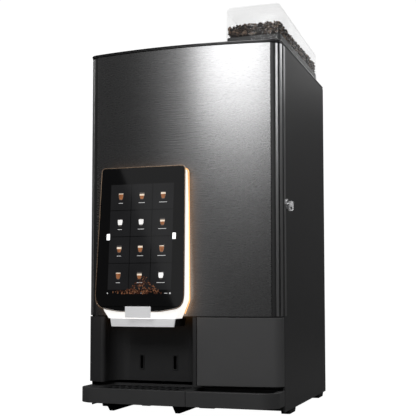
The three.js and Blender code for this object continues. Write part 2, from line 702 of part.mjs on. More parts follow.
// ---- lock ----
// The key, the plug it turns and the cam on the plug's inner end move as one.
function keyAndCam() {
  const plug = rod(4.1, [HALF - 22, LOCK_Y, LOCK_Z], [HALF + 6, LOCK_Y, LOCK_Z], 16);
  const cam = box(HALF - 21, HALF - 18, LOCK_Y - 5, LOCK_Y + 5, LOCK_Z - 14, LOCK_Z + 5);
  const bow = cut(
    alongY(rounded([
      [HALF + 5, LOCK_Z - 16, 3], [KEY_REACH, LOCK_Z - 16, 4],
      [KEY_REACH, LOCK_Z + 6, 4], [HALF + 5, LOCK_Z + 6, 3],
    ]), LOCK_Y - 1.2, LOCK_Y + 1.2),
    rod(3, [HALF + 11, LOCK_Y - 5, LOCK_Z - 9], [HALF + 11, LOCK_Y + 5, LOCK_Z - 9], 14),
  );
  return join(plug, cam, bow);
}

// ---- put every piece in ----
add('side_panel_left', sidePanel(-1), cabinetPaint);
add('side_panel_right', sidePanel(1), cabinetPaint);
add('rear_panel', rearPanel(), cabinetPaint);
add('base_pan', basePan(), cabinetPaint);
add('top_cover', topCover(), glossBlack);
add('internal_shelf', box(-227.5, 227.5, -209, 239.5, SHELF_BOTTOM, SHELF_TOP), steel);
add('inner_frame', innerFrame(), steel);
add('niche_housing', nicheHousing(), darkPlastic);
add('sensor_window_left', sensorWindow(-1), glossBlack);
add('sensor_window_right', sensorWindow(1), glossBlack);
for (const [side, x] of [['left', -218], ['right', 218]]) {
  add(`foot_front_${side}`, foot(x, -137), rubber);
  add(`foot_rear_${side}`, foot(x, 186), rubber);
}
add('tray_bracket_left', trayBracket(-172), darkPlastic);
add('tray_bracket_right', trayBracket(-12), darkPlastic);
add('hinge_pin_top', hingePinTop(), steel);
add('hinge_pin_bottom', hingePinBottom(), steel);
add('lock_barrel', lockBarrel(), brightMetal);
add('boiler', boiler(), steel);
add('water_pump', waterPump(), steel);
add('grinder', grinder(), darkPlastic);
add('brew_unit', brewUnit(), darkPlastic);
for (const [side, x] of Object.entries(CANISTERS)) {
  add(`powder_canister_${side}`, canister(x), whitePlastic);
  add(`powder_auger_${side}`, auger(x), steel);
  add(`mixer_bowl_${side}`, mixerBowl(x), whitePlastic);
}
add('power_supply', powerSupply(), circuit);
add('power_inlet', powerInlet(), darkPlastic);
add('water_inlet_valve', waterValve(), brass);

add('door_skin', doorSkin(), brushedDark);
add('door_frame', doorFrame(), darkPlastic);
add('edge_profile_left', edgeProfile(-1), darkPlastic);
add('edge_profile_right', edgeProfile(1), darkPlastic);
add('pod_housing', podHousing(), whitePlastic);
add('halo_ring', haloRing(), amber);
add('glass_bezel', glassBezel(), bronze);
add('screen_glass', screenGlass(), glass);
add('display_panel', displayPanel(), display);
add('badge_plate', badgePlate(), whitePlastic);
add('lower_strip', lowerStrip(), brightMetal);
add('nozzle_head', nozzleHead(), darkPlastic);
add('drink_outlet_left', outlet(POD_X - 14), brightMetal);
add('drink_outlet_right', outlet(POD_X + 14), brightMetal);

add('drawer_front', drawerFront(), cabinetPaint);
add('waste_bin', wasteBin(), darkPlastic);
add('drip_tray', dripTray(), darkPlastic);
add('drip_grille', dripGrille(), darkPlastic);
add('side_tray', sideTray(), darkPlastic);

add('hopper_bin', hopperBin(), clear);
add('hopper_base', hopperBase(), darkPlastic);
add('bean_heap', beanHeap(), beans);
add('hopper_lid', hopperLid(), clear);

add('grinder_burr', grinderBurr(), steel);
add('brew_piston', brewPiston(), steel);
add('key_and_cam', keyAndCam(), brightMetal);

export default machine;
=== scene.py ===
import math
import random

import bmesh
import bpy
from mathutils import Matrix, Quaternion, Vector


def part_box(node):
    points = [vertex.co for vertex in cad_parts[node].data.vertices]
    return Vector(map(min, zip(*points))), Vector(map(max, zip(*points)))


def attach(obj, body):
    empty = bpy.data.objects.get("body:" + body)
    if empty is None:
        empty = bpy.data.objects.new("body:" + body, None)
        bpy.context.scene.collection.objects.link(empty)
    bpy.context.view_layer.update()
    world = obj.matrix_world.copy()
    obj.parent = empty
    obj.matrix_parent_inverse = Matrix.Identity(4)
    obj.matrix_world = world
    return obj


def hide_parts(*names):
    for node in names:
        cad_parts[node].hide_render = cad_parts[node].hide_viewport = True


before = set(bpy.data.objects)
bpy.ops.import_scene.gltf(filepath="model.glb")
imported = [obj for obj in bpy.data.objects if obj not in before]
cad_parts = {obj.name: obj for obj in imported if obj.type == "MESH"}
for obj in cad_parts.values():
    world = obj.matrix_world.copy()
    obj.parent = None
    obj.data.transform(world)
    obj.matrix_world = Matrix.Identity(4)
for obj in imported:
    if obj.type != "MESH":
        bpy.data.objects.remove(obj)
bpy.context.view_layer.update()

MM = 0.001


# ---- places, read from the frame ----
def low(node):
    return Vector(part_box(node)[0])


def high(node):
    return Vector(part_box(node)[1])


def ends(node):
    return low(node), high(node)


def middle(node):
    return (low(node) + high(node)) / 2


LEFT = low("side_panel_left").x
RIGHT = high("side_panel_right").x
MID = (LEFT + RIGHT) / 2
HALF = (RIGHT - LEFT) / 2
NOSE = low("door_skin").y  # the bowed front's foremost line
BOW = 23 * MM  # how far the front curves out at the middle
CORNER = 22 * MM  # radius of the front corners
PANEL_FRONT = low("side_panel_right").y
BACK = high("side_panel_right").y

GLASS_TILT = math.atan(23.5 / 321)  # the screen leans back towards its top
GLASS_HEIGHT = 322 * MM
GLASS_FOOT = Vector((middle("screen_glass").x, low("screen_glass").y, low("screen_glass").z + 0.3 * MM))


# ---- mesh helpers ----
SHARP = 35  # degrees: an edge that turns by more than this stays sharp, or takes a bevel


def placed(name, data):
    """A new object of the scene that holds this mesh, light or camera."""
    obj = bpy.data.objects.new(name, data)
    bpy.context.scene.collection.objects.link(obj)
    return obj


def mesh_of(name, bm):
    """The bmesh as a new mesh; the bmesh itself is used up."""
    mesh = bpy.data.meshes.new(name)
    bm.to_mesh(mesh)
    bm.free()
    return mesh


def finish_mesh(name, bm, body, material, bevel=0.0, segments=2, angle=SHARP):
    """Turns the bmesh into a smooth-shaded piece with its sharp edges kept, and rides it on its body."""
    bmesh.ops.remove_doubles(bm, verts=bm.verts, dist=1e-6)
    bmesh.ops.recalc_face_normals(bm, faces=bm.faces)
    mesh = mesh_of(name, bm)
    obj = placed(name, mesh)
    mesh.shade_smooth()
    mesh.set_sharp_from_angle(angle=math.radians(angle))
    mesh.materials.append(material)
    if bevel:
        add_bevel(obj, bevel, segments, angle)
    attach(obj, body)
    return obj


def add_bevel(obj, width, segments=2, angle=SHARP):
    modifier = obj.modifiers.new("Bevel", "BEVEL")
    modifier.width = width
    modifier.segments = segments
    modifier.limit_method = "ANGLE"
    modifier.angle_limit = math.radians(angle)
    modifier.harden_normals = True
    modifier.use_clamp_overlap = True


def arc_corners(corners, steps=8):
    """Corners are (x, y) or (x, y, radius); a radius rounds the corner with an arc."""
    points = []
    count = len(corners)
    for i, corner in enumerate(corners):
        here = Vector(corner[:2])
        radius = corner[2] if len(corner) > 2 else 0
        if radius <= 0:
            points.append(here)
            continue
        back = (Vector(corners[i - 1][:2]) - here).normalized()
        ahead = (Vector(corners[(i + 1) % count][:2]) - here).normalized()
        half = back.angle(ahead) / 2
        centre = here + (back + ahead).normalized() * (radius / math.sin(half))
        start = here + back * (radius / math.tan(half)) - centre
        cross = ahead.x * back.y - ahead.y * back.x
        turn = math.copysign(math.pi - 2 * half, cross)
        for k in range(steps + 1):
            points.append(centre + Matrix.Rotation(turn * k / steps, 2) @ start)
    return points


def rectangle(x0, x1, y0, y1, radius=0.0, steps=6):
    return arc_corners([(x0, y0, radius), (x1, y0, radius), (x1, y1, radius), (x0, y1, radius)], steps)


def spread(first, last, steps):
    """Evenly spaced values from first to last, both included."""
    return [first + (last - first) * i / steps for i in range(steps + 1)]


def loft(bm, rings, cap=True):
    """Joins rings of equally many points, and closes the first and the last."""
    rows = [[bm.verts.new(p) for p in ring] for ring in rings]
    for a, b in zip(rows, rows[1:]):
        for i in range(len(a)):
            j = (i + 1) % len(a)
            bm.faces.new((a[i], a[j], b[j], b[i]))
    if cap:
        bm.faces.new(reversed(rows[0]))
        bm.faces.new(rows[-1])
    return rows


def join_rings(bm, first, last):
    """Closes a band that was lofted without caps, from its first ring of vertices to its last."""
    for i in range(len(first)):
        j = (i + 1) % len(first)
        bm.faces.new((first[i], last[i], last[j], first[j]))


def prism_z(bm, outline, z0, z1):
    loft(bm, [[(p[0], p[1], z) for p in outline] for z in (z0, z1)])


def prism_y(bm, outline, y0, y1):
    loft(bm, [[(p[0], y, p[1]) for p in outline] for y in (y0, y1)])


def prism_x(bm, outline, x0, x1):
    loft(bm, [[(x, p[0], p[1]) for p in outline] for x in (x0, x1)])


def closed_ring(bm, stack):
    """A band that closes on itself through a stack of (outline, height) pairs."""
    rings = [[(p[0], p[1], z) for p in outline] for outline, z in stack]
    loft(bm, rings + rings[:1], cap=False)


def grown(outline, amount):
    """The outline moved out by amount along its own normals."""
    count = len(outline)
    area = sum(outline[i - 1][0] * outline[i][1] - outline[i][0] * outline[i - 1][1] for i in range(count))
    side = 1 if area > 0 else -1
    result = []
    for i in range(count):
        here = Vector(outline[i][:2])
        arrive = (here - Vector(outline[i - 1][:2])).normalized()
        leave = (Vector(outline[(i + 1) % count][:2]) - here).normalized()
        mid = (arrive + leave).normalized()
        normal = Vector((mid.y, -mid.x)) * side
        result.append(here + normal * (amount / max(mid.dot(leave), 0.5)))
    return result


# ---- materials ----
def grey(level):
    """A grey with a trace of blue."""
    return level, level, level + 0.001


def new_material(name):
    material = bpy.data.materials.new(name)
    material.use_nodes = True
    nodes = material.node_tree.nodes
    shader = next(n for n in nodes if n.type == "BSDF_PRINCIPLED")
    return material, nodes, material.node_tree.links, shader


def object_coordinates(nodes, links, scale):
    place = nodes.new("ShaderNodeTexCoord")
    mapping = nodes.new("ShaderNodeMapping")
    mapping.inputs["Scale"].default_value = scale
    links.new(place.outputs["Object"], mapping.inputs["Vector"])
    return mapping.outputs["Vector"]


def noise(nodes, links, vector, scale, detail=4.0):
    texture = nodes.new("ShaderNodeTexNoise")
    texture.inputs["Scale"].default_value = scale
    texture.inputs["Detail"].default_value = detail
    links.new(vector, texture.inputs["Vector"])
    return texture.outputs["Fac"]


def ramp(nodes, links, value, low_value, high_value):
    mapped = nodes.new("ShaderNodeMapRange")
    mapped.inputs["From Min"].default_value = 0.3
    mapped.inputs["From Max"].default_value = 0.7
    mapped.inputs["To Min"].default_value = low_value
    mapped.inputs["To Max"].default_value = high_value
    links.new(value, mapped.inputs["Value"])
    return mapped.outputs["Result"]


def tint(nodes, links, value, dark, light):
    mix = nodes.new("ShaderNodeMix")
    mix.data_type = "RGBA"
    mix.inputs["A"].default_value = (*dark, 1)
    mix.inputs["B"].default_value = (*light, 1)
    links.new(value, mix.inputs["Factor"])
    return mix.outputs["Result"]


def bump(nodes, links, shader, value, strength, distance):
    node = nodes.new("ShaderNodeBump")
    node.inputs["Strength"].default_value = strength
    node.inputs["Distance"].default_value = distance
    links.new(value, node.inputs["Height"])
    links.new(node.outputs["Normal"], shader.inputs["Normal"])


def grained(name, dark, light, rough, metallic=0.0, grain=900.0, stretch=(1, 1, 1), depth=0.02 * MM,
            strength=0.25, coat=0.0, specular=0.5, painted_glow=0.0):
    """Plastic, paint or metal whose colour, roughness and surface vary with a fine grain."""
    material, nodes, links, shader = new_material(name)
    vector = object_coordinates(nodes, links, stretch)
    fine = noise(nodes, links, vector, grain)
    broad = noise(nodes, links, vector, grain / 60, 3.0)
    links.new(tint(nodes, links, broad, dark, light), shader.inputs["Base Color"])
    links.new(ramp(nodes, links, fine, rough[0], rough[1]), shader.inputs["Roughness"])
    shader.inputs["Metallic"].default_value = metallic
    shader.inputs["Specular IOR Level"].default_value = specular
    if coat:
        shader.inputs["Coat Weight"].default_value = coat
        shader.inputs["Coat Roughness"].default_value = 0.08
    # A painted glow: emission in the light colour, standing in for light that falls on the surface from the
    # lit pod.
    if painted_glow:
        shader.inputs["Emission Color"].default_value = (*light, 1)
        shader.inputs["Emission Strength"].default_value = painted_glow
    bump(nodes, links, shader, fine, strength, depth)
    return material


def lit(name, color, strength, rough=0.4):
    """A surface lit from inside, a little uneven as a moulded light guide is."""
    material, nodes, links, shader = new_material(name)
    vector = object_coordinates(nodes, links, (1, 1, 1))
    cloud = noise(nodes, links, vector, 25.0, 2.0)
    paler = [c * 0.94 for c in color]
    shade = tint(nodes, links, cloud, paler, color)
    links.new(shade, shader.inputs["Base Color"])
    links.new(shade, shader.inputs["Emission Color"])
    shader.inputs["Emission Strength"].default_value = strength
    shader.inputs["Roughness"].default_value = rough
    return material


def clear_plastic(name):
    """Thin clear plastic: mostly see-through, with a grey haze that builds up where walls overlap."""
    material, nodes, links, shader = new_material(name)
    vector = object_coordinates(nodes, links, (1, 1, 1))
    haze = noise(nodes, links, vector, 18.0, 3.0)
    links.new(ramp(nodes, links, haze, 0.04, 0.09), shader.inputs["Roughness"])
    links.new(tint(nodes, links, haze, (0.22, 0.225, 0.23), (0.32, 0.325, 0.33)), shader.inputs["Base Color"])
    links.new(ramp(nodes, links, haze, 0.045, 0.08), shader.inputs["Alpha"])
    return material


def painted_halo_glow(material, strength, reach):
    """Paints the warm light that the halo throws on a surface as emission: a painted glow, strongest at the
    pod's edge, then fading.
    """
    nodes, links = material.node_tree.nodes, material.node_tree.links
    shader = next(n for n in nodes if n.type == "BSDF_PRINCIPLED")

    def step(operation, vector, constant=None):
        node = nodes.new("ShaderNodeVectorMath")
        node.operation = operation
        links.new(vector, node.inputs[0])
        if constant is not None:
            node.inputs[1].default_value = constant
        return node.outputs["Value" if operation == "LENGTH" else "Vector"]

    def number(operation, value, constant, swap=False):
        node = nodes.new("ShaderNodeMath")
        node.operation = operation
        links.new(value, node.inputs[1 if swap else 0])
        node.inputs[0 if swap else 1].default_value = constant
        return node.outputs["Value"]

    corner = 30 * MM
    ring_middle = middle("halo_ring")
    centre = (GLASS_FOOT.x + 2 * MM, 0, ring_middle.z - 8 * MM)  # the painted glow hangs a little low and right
    half = high("halo_ring") - ring_middle
    away = step("SUBTRACT", object_coordinates(nodes, links, (1, 1, 1)), centre)
    away = step("ABSOLUTE", step("MULTIPLY", away, (1, 0, 1)))
    straight = (half.x - corner, 0, half.z - corner)
    away = step("MAXIMUM", step("SUBTRACT", away, straight), (0, 0, 0))
    outside = number("MAXIMUM", number("SUBTRACT", step("LENGTH", away), corner), 0.0)
    fade = number("POWER", number("MULTIPLY", outside, -1 / reach), math.e, swap=True)
    links.new(number("MULTIPLY", fade, strength), shader.inputs["Emission Strength"])
    shader.inputs["Emission Color"].default_value = (1.0, 0.5, 0.19, 1)
    return material


paint = grained("cabinet_paint", grey(0.034), grey(0.04), (0.38, 0.48), grain=1400)
# The door, the drawer and the niche carry a painted glow: emission that stands in for the halo's warm light
# on them.
door_brushed = painted_halo_glow(grained("door_brushed", (0.2, 0.2, 0.202), (0.235, 0.235, 0.237), (0.235, 0.3), 1.0,
                                grain=700, stretch=(0.02, 1, 2.5), depth=0.01 * MM, strength=0.008),
                        0.11, 8 * MM)
rib_metal = grained("rib_metal", (0.4, 0.4, 0.405), (0.48, 0.48, 0.485), (0.28, 0.36), 1.0, grain=500,
                    stretch=(1, 1, 0.06), depth=0.01 * MM, strength=0.15)
drawer_paint = painted_halo_glow(grained("drawer_paint", grey(0.08), grey(0.09), (0.38, 0.48), grain=1400),
                        0.05, 12 * MM)
niche_plastic = painted_halo_glow(grained("niche_plastic", grey(0.026), grey(0.032), (0.3, 0.4), grain=1800),
                         0.02, 12 * MM)
dark_plastic = grained("dark_plastic", grey(0.017), grey(0.022), (0.34, 0.46), grain=1800)
tray_plastic = grained("tray_plastic", grey(0.046), grey(0.056), (0.4, 0.5), grain=1800)
grille_plastic = grained("grille_plastic", grey(0.014), grey(0.018), (0.45, 0.55), grain=1800)
black_plastic = grained("black_plastic", grey(0.008), (0.012, 0.012, 0.012), (0.4, 0.5), grain=1800)
gloss_black = grained("gloss_black", grey(0.006), grey(0.01), (0.12, 0.18), grain=60,
                      depth=0.004 * MM, strength=0.1, coat=0.4)
lens_black = grained("lens_black", (0.0015, 0.0015, 0.0015), (0.003, 0.003, 0.003), (0.35, 0.45), grain=60,
                     depth=0.004 * MM, strength=0.1, specular=0.0)
screen_black = grained("screen_glass", (0.002, 0.002, 0.0025), (0.004, 0.004, 0.0045), (0.03, 0.05), grain=30,
                       depth=0.001 * MM, strength=0.05)
rubber = grained("rubber", (0.008, 0.008, 0.008), (0.014, 0.014, 0.014), (0.75, 0.9), grain=1200)
steel = grained("satin_steel", (0.42, 0.42, 0.43), (0.5, 0.5, 0.51), (0.28, 0.4), 1.0, grain=500,
                stretch=(1, 1, 0.06), depth=0.01 * MM)
bright = grained("bright_metal", (0.66, 0.66, 0.67), (0.76, 0.76, 0.77), (0.22, 0.32), 1.0, grain=700,
                 stretch=(0.05, 1, 1), depth=0.008 * MM)
brass = grained("brass", (0.55, 0.38, 0.15), (0.68, 0.5, 0.22), (0.25, 0.38), 1.0, grain=500)
bronze = grained("bronze_trim", (0.42, 0.29, 0.2), (0.52, 0.38, 0.27), (0.25, 0.34), 1.0, grain=500)
white_plastic = grained("white_plastic", (0.78, 0.78, 0.77), (0.85, 0.85, 0.84), (0.35, 0.45), grain=1500)
# The badge and the chin strip carry a painted glow, for the light of the lit pod around them.
badge_grey = grained("badge_grey", (0.76, 0.76, 0.77), (0.86, 0.86, 0.87), (0.35, 0.45), grain=1500,
                     painted_glow=0.28)
chin_metal = grained("chin_metal", (0.62, 0.62, 0.63), (0.84, 0.84, 0.85), (0.3, 0.38), 0.3, grain=260,
                     stretch=(0.04, 1, 1.5), depth=0.008 * MM, strength=0.04, painted_glow=0.36)
case_grey = grained("circuit_case", (0.24, 0.25, 0.26), (0.3, 0.31, 0.32), (0.4, 0.5), 0.6, grain=900)
lit_white = lit("lit_white", (1.0, 0.98, 0.95), 0.9)
amber = lit("amber_light", (1.0, 0.5, 0.17), 1.5)
clear = clear_plastic("clear_plastic")


# ---- the bowed front ----
def bow_y(x, inset=0.0):
    """Where the bowed front stands at x, or a surface inset behind it."""
    return NOSE + BOW * ((x - MID) / HALF) ** 2 + inset


def bow_line(x0, x1, inset=0.0, steps=40):
    return [(x, bow_y(x, inset)) for x in spread(x0, x1, steps)]


def front_outline(x0, x1, rear, inset=0.0, left_radius=0.0, right_radius=0.0, steps=36):
    """Plan outline between the bowed front and a flat rear."""
    reach = 1.25  # the bow's points keep this many radii away from a rounded corner
    start, stop = x0 + left_radius * reach, x1 - right_radius * reach
    corners = [(x0, rear), (x0, bow_y(x0, inset), left_radius)]
    corners += [(x, bow_y(x, inset)) for x in spread(x0, x1, steps)[1:-1] if start < x < stop]
    corners += [(x1, bow_y(x1, inset), right_radius), (x1, rear)]
    return arc_corners(corners, 10)


def door_sheet():
    """The bowed front sheet."""
    lo, hi = ends("door_skin")
    thickness = 3 * MM
    outer = bow_line(lo.x, hi.x)
    inner = [(x, y + thickness) for x, y in reversed(outer)]
    bm = bmesh.new()
    prism_z(bm, outer + inner, lo.z, hi.z)
    piece = finish_mesh("door_sheet", bm, "door", door_brushed, 0.5 * MM)
    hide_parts("door_skin")


# The ribs stand on the corner arc between these angles from straight ahead.
RIBS = ((27, 43), (56, 78))


def edge_trim(side, node):
    """A dark corner profile of the door with two metal ribs on it; side is -1 for left, 1 for right."""
    lo, hi = ends(node)
    centre = Vector((MID + side * (HALF - CORNER), bow_y(MID + HALF) + CORNER - 2 * MM))
    seam = MID + side * (HALF - CORNER + 0.4 * MM)

    def arc(radius, first, last, steps=10):
        angles = [math.radians(a) for a in spread(first, last, steps)]
        return [(centre.x + side * radius * math.sin(a), centre.y - radius * math.cos(a)) for a in angles]

    rear = hi.y
    radius = CORNER - 0.7 * MM
    outline = [(seam, rear), (seam, centre.y - radius), *arc(radius, 4, 90, 14),
               (centre.x + side * radius, rear)]
    bm = bmesh.new()
    prism_z(bm, outline, lo.z, hi.z)
    hand = node.split("_")[-1]
    base = finish_mesh(f"edge_trim_{hand}", bm, "door", black_plastic, 0.3 * MM)
    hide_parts(node)
    for i, (first, last) in enumerate(RIBS):
        bm = bmesh.new()
        rib = arc(CORNER, first, last, 5)
        root = arc(radius - 1 * MM, first, last, 5)
        prism_z(bm, rib + root[::-1], lo.z + 1 * MM, hi.z - 1 * MM)
        piece = finish_mesh(f"edge_rib_{hand}_{i + 1}", bm, "door", rib_metal, 0.35 * MM)


PLATE = 3 * MM  # the top cover's thickness inside its skirt


def top_shell():
    """The top cover: a gloss plate with a skirt under its edge."""
    lo, hi = ends("top_cover")
    overhang = 2 * MM
    outline = front_outline(LEFT, RIGHT, BACK, -overhang, CORNER, CORNER)
    bm = bmesh.new()
    prism_z(bm, outline, hi.z - PLATE, hi.z)
    piece = finish_mesh("top_shell", bm, "cabinet", gloss_black, 1.2 * MM, 3)
    step = 0.8 * MM  # the skirt stands this far in from the plate's edge
    skirt = front_outline(LEFT + step, RIGHT - step, BACK - step, step - overhang, CORNER, CORNER)
    inner = grown(skirt, -2.4 * MM)
    plate_under = hi.z - PLATE + 0.1 * MM
    bm = bmesh.new()
    closed_ring(bm, [(skirt, plate_under), (skirt, lo.z), (inner, lo.z), (inner, plate_under)])
    edge = finish_mesh("top_skirt", bm, "cabinet", black_plastic, 0.3 * MM)
    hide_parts("top_cover")


def right_panel():
    """The right side's sheet, with a rolled hem at its front edge."""
    lo, hi = ends("side_panel_right")
    sheet, hem, hem_end = RIGHT - 2 * MM, RIGHT - 4.5 * MM, PANEL_FRONT + 7 * MM
    outline = arc_corners([
        (RIGHT, PANEL_FRONT, 4 * MM), (RIGHT, BACK), (sheet, BACK), (sheet, hem_end), (hem, hem_end),
        (hem, PANEL_FRONT),
    ], 8)
    bm = bmesh.new()
    prism_z(bm, outline, lo.z, hi.z)
    piece = finish_mesh("panel_right_sheet", bm, "cabinet", paint, 0.3 * MM)
    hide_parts("side_panel_right")
    bm = bmesh.new()
    strip = rectangle(PANEL_FRONT + 6 * MM, PANEL_FRONT + 19 * MM,
                      high("drawer_front").z + 3 * MM, hi.z - 1 * MM)
    prism_x(bm, strip, RIGHT - 1 * MM, RIGHT + 0.35 * MM)
    trim = finish_mesh("panel_right_trim", bm, "cabinet", rib_metal, 0.3 * MM)


# ---- lower front ----
# Distances from the cabinet's left side, and the radius of the niche's rear corners.
NICHE = {"left": 45 * MM, "right": 263 * MM, "radius": 38 * MM, "divider": 273 * MM}


def niche_line():
    """Plan line of the pillar, the cup niche and the divider, from left to right."""
    back = high("nozzle_head").y + 6 * MM
    x0, x1, x2 = LEFT + NICHE["left"], LEFT + NICHE["right"], LEFT + NICHE["divider"]
    rear = PANEL_FRONT - 0.5 * MM
    pillar = [(x, y) for x, y in bow_line(LEFT, x0, 0, 12) if LEFT + 26 * MM < x < x0 - 12 * MM]
    return arc_corners([
        (LEFT, rear), (LEFT, bow_y(LEFT), CORNER), *pillar, (x0, bow_y(x0), 9 * MM),
        (x0, back, NICHE["radius"]), (x1, back, NICHE["radius"]), (x1, bow_y(x1), 3 * MM),
        (x2, bow_y(x2), 2 * MM), (x2, rear),
    ], 12)


def follow(points, thickness):
    """Closes an open line into the outline of a wall of one thickness behind it."""
    inner = []
    for i, here in enumerate(points):
        before, after = points[max(i - 1, 0)], points[min(i + 1, len(points) - 1)]
        arrive, leave = here - before, after - here
        if i == 0:
            arrive = leave
        if i == len(points) - 1:
            leave = arrive
        mid = (arrive.normalized() + leave.normalized()).normalized()
        inner.append(here + Vector((-mid.y, mid.x)) * (thickness / max(mid.dot(leave.normalized()), 0.5)))
    return list(points) + inner[::-1]


def niche_shell():
    lo, hi = ends("niche_housing")
    bm = bmesh.new()
    prism_z(bm, follow(niche_line(), 2.2 * MM), lo.z, hi.z)
    piece = finish_mesh("niche_shell", bm, "cabinet", niche_plastic, 0.4 * MM)
    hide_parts("niche_housing")


def sensor_frame(node):
    """A raised frame round a tall dark lens, on the niche's rear wall."""
    lo, hi = ends(node)
    x, z = middle(node).x, middle(node).z
    half_wide, half_tall = 3.6 * MM, 15 * MM
    lens_wide, lens_tall = 0.94, 0.985  # the lens in parts of the opening
    outer = rectangle(lo.x, hi.x, lo.z, hi.z, 2 * MM)
    inner = rectangle(x - half_wide, x + half_wide, z - half_tall, z + half_tall, 0.6 * MM)
    front, back = lo.y, hi.y - 5.5 * MM
    bm = bmesh.new()
    loft(bm, [[(p[0], back, p[1]) for p in outer], [(p[0], front, p[1]) for p in outer],
              [(p[0], front, p[1]) for p in inner], [(p[0], back + 2 * MM, p[1]) for p in inner]])
    frame_piece = finish_mesh(node.replace("window", "frame"), bm, "cabinet", dark_plastic, 0.5 * MM)
    bm = bmesh.new()
    pane = [(x + (p[0] - x) * lens_wide, z + (p[1] - z) * lens_tall) for p in inner]
    prism_y(bm, pane, front + 1 * MM, hi.y)
    lens = finish_mesh(node.replace("window", "lens"), bm, "cabinet", lens_black, 0.3 * MM)
    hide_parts(node)


def drawer_face():
    lo, hi = ends("drawer_front")
    outline = front_outline(lo.x, hi.x, hi.y, 0, 1.5 * MM, CORNER)
    bm = bmesh.new()
    prism_z(bm, outline, lo.z, hi.z)
    piece = finish_mesh("drawer_face", bm, "waste_drawer", drawer_paint, 0.8 * MM, 3)
    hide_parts("drawer_front")


# ---- trays ----
TRAY_BOW = 7 * MM
TRAY_CORNER = 40 * MM


def tray_front_y(x):
    return low("drip_tray").y + TRAY_BOW * ((x - MID) / HALF) ** 2


def tray_end(x, rear, inward):
    """Corners of a tray's outer end, front to rear: rounded, with a notch for the side panel."""
    shoulder = PANEL_FRONT - 1.5 * MM
    notch = x + 3 * MM * inward
    return [(x, tray_front_y(x), TRAY_CORNER), (x, shoulder), (notch, shoulder), (notch, rear)]


def tray_outline(x0, x1, rear, left, right):
    """Plan outline of a tray; left and right say which of its ends is an outer one."""
    clear_of_arc = TRAY_CORNER * 1.1
    start, stop = x0 + (clear_of_arc if left else 0), x1 - (clear_of_arc if right else 0)
    corners = tray_end(x0, rear, 1)[::-1] if left else [(x0, rear), (x0, tray_front_y(x0))]
    corners += [(x, tray_front_y(x)) for x in spread(x0, x1, 16)[1:-1] if start < x < stop]
    corners += tray_end(x1, rear, -1) if right else [(x1, tray_front_y(x1)), (x1, rear)]
    return arc_corners(corners, 10)


def grille_outline(grow):
    """Plan outline of the drip grille, with wide rear corners to suit the niche."""
    lo, hi = ends("drip_grille")
    return arc_corners([
        (lo.x - grow, lo.y - grow, 6 * MM), (hi.x + grow, lo.y - grow, 6 * MM),
        (hi.x + grow, hi.y + grow, 24 * MM), (lo.x - grow, hi.y + grow, 24 * MM),
    ], 8)


def cut_by(obj, cutter_bm, name):
    """Cuts the closed shape cutter_bm out of the piece for good."""
    bmesh.ops.recalc_face_normals(cutter_bm, faces=cutter_bm.faces)
    mesh = mesh_of(name, cutter_bm)
    cutter = placed(name, mesh)
    modifier = obj.modifiers.new("Cut", "BOOLEAN")
    modifier.operation = "DIFFERENCE"
    modifier.solver = "EXACT"
    modifier.object = cutter
    graph = bpy.context.evaluated_depsgraph_get()
    result = bpy.data.meshes.new_from_object(obj.evaluated_get(graph))
    obj.modifiers.clear()
    old = obj.data
    obj.data = result
    bpy.data.meshes.remove(old)
    bpy.data.objects.remove(cutter)
    bpy.data.meshes.remove(mesh)
    obj.data.shade_smooth()
    obj.data.set_sharp_from_angle(angle=math.radians(SHARP))


def drip_tray_body():
    lo, hi = ends("drip_tray")
    bm = bmesh.new()
    prism_z(bm, tray_outline(lo.x, hi.x, hi.y, True, False), lo.z, hi.z)
    piece = finish_mesh("drip_tray_body", bm, "drip_tray", tray_plastic)
    cutter = bmesh.new()
    seat = grille_outline(0.5 * MM)
    basin = grille_outline(-6 * MM)
    ledge = low("drip_grille").z - 0.3 * MM
    floor_top = lo.z + 3 * MM
    levels = ((seat, hi.z + 5 * MM), (seat, ledge), (basin, ledge), (basin, floor_top))
    loft(cutter, [[(p[0], p[1], z) for p in outline] for outline, z in levels])
    cut_by(piece, cutter, "basin_cutter")
    add_bevel(piece, 1 * MM, 3)
    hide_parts("drip_tray")


def drip_grate():
    lo, hi = ends("drip_grille")
    bm = bmesh.new()
    prism_z(bm, grille_outline(0), lo.z, hi.z)
    piece = finish_mesh("drip_grate", bm, "drip_grille", grille_plastic)
    cutter = bmesh.new()
    pitch, slot_width, slot_radius, past = 16 * MM, 8 * MM, 2.5 * MM, 2 * MM
    first = lo.x + pitch
    for i in range(int((hi.x - 12 * MM - first) / pitch) + 1):
        x = first + i * pitch
        for y0, y1 in ((8, 40), (46, 78)):
            slot = rectangle(x, x + slot_width, lo.y + y0 * MM, lo.y + y1 * MM, slot_radius, 3)
            prism_z(cutter, slot, lo.z - past, hi.z + past)
    cut_by(piece, cutter, "slot_cutter")
    add_bevel(piece, 0.4 * MM, 2)
    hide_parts("drip_grille")


def side_tray_body():
    lo, hi = ends("side_tray")
    bm = bmesh.new()
    prism_z(bm, tray_outline(lo.x, hi.x, hi.y, False, True), lo.z, hi.z)
    piece = finish_mesh("side_tray_body", bm, "side_tray", tray_plastic)
    cutter = bmesh.new()
    dish = rectangle(lo.x + 10 * MM, hi.x - 12 * MM, lo.y + 18 * MM, hi.y - 10 * MM, 12 * MM)
    prism_z(cutter, dish, lo.z + 3 * MM, hi.z + 5 * MM)
    cut_by(piece, cutter, "dish_cutter")
    add_bevel(piece, 1 * MM, 3)
    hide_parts("side_tray")


# ---- the screen ----
def on_glass(x, up, out=0.0):
    """A point on the tilted glass: x from its middle, up from its foot, out towards the user."""
    return GLASS_FOOT + Vector((
        x,
        up * math.sin(GLASS_TILT) - out * math.cos(GLASS_TILT),
        up * math.cos(GLASS_TILT) + out * math.sin(GLASS_TILT),
    ))


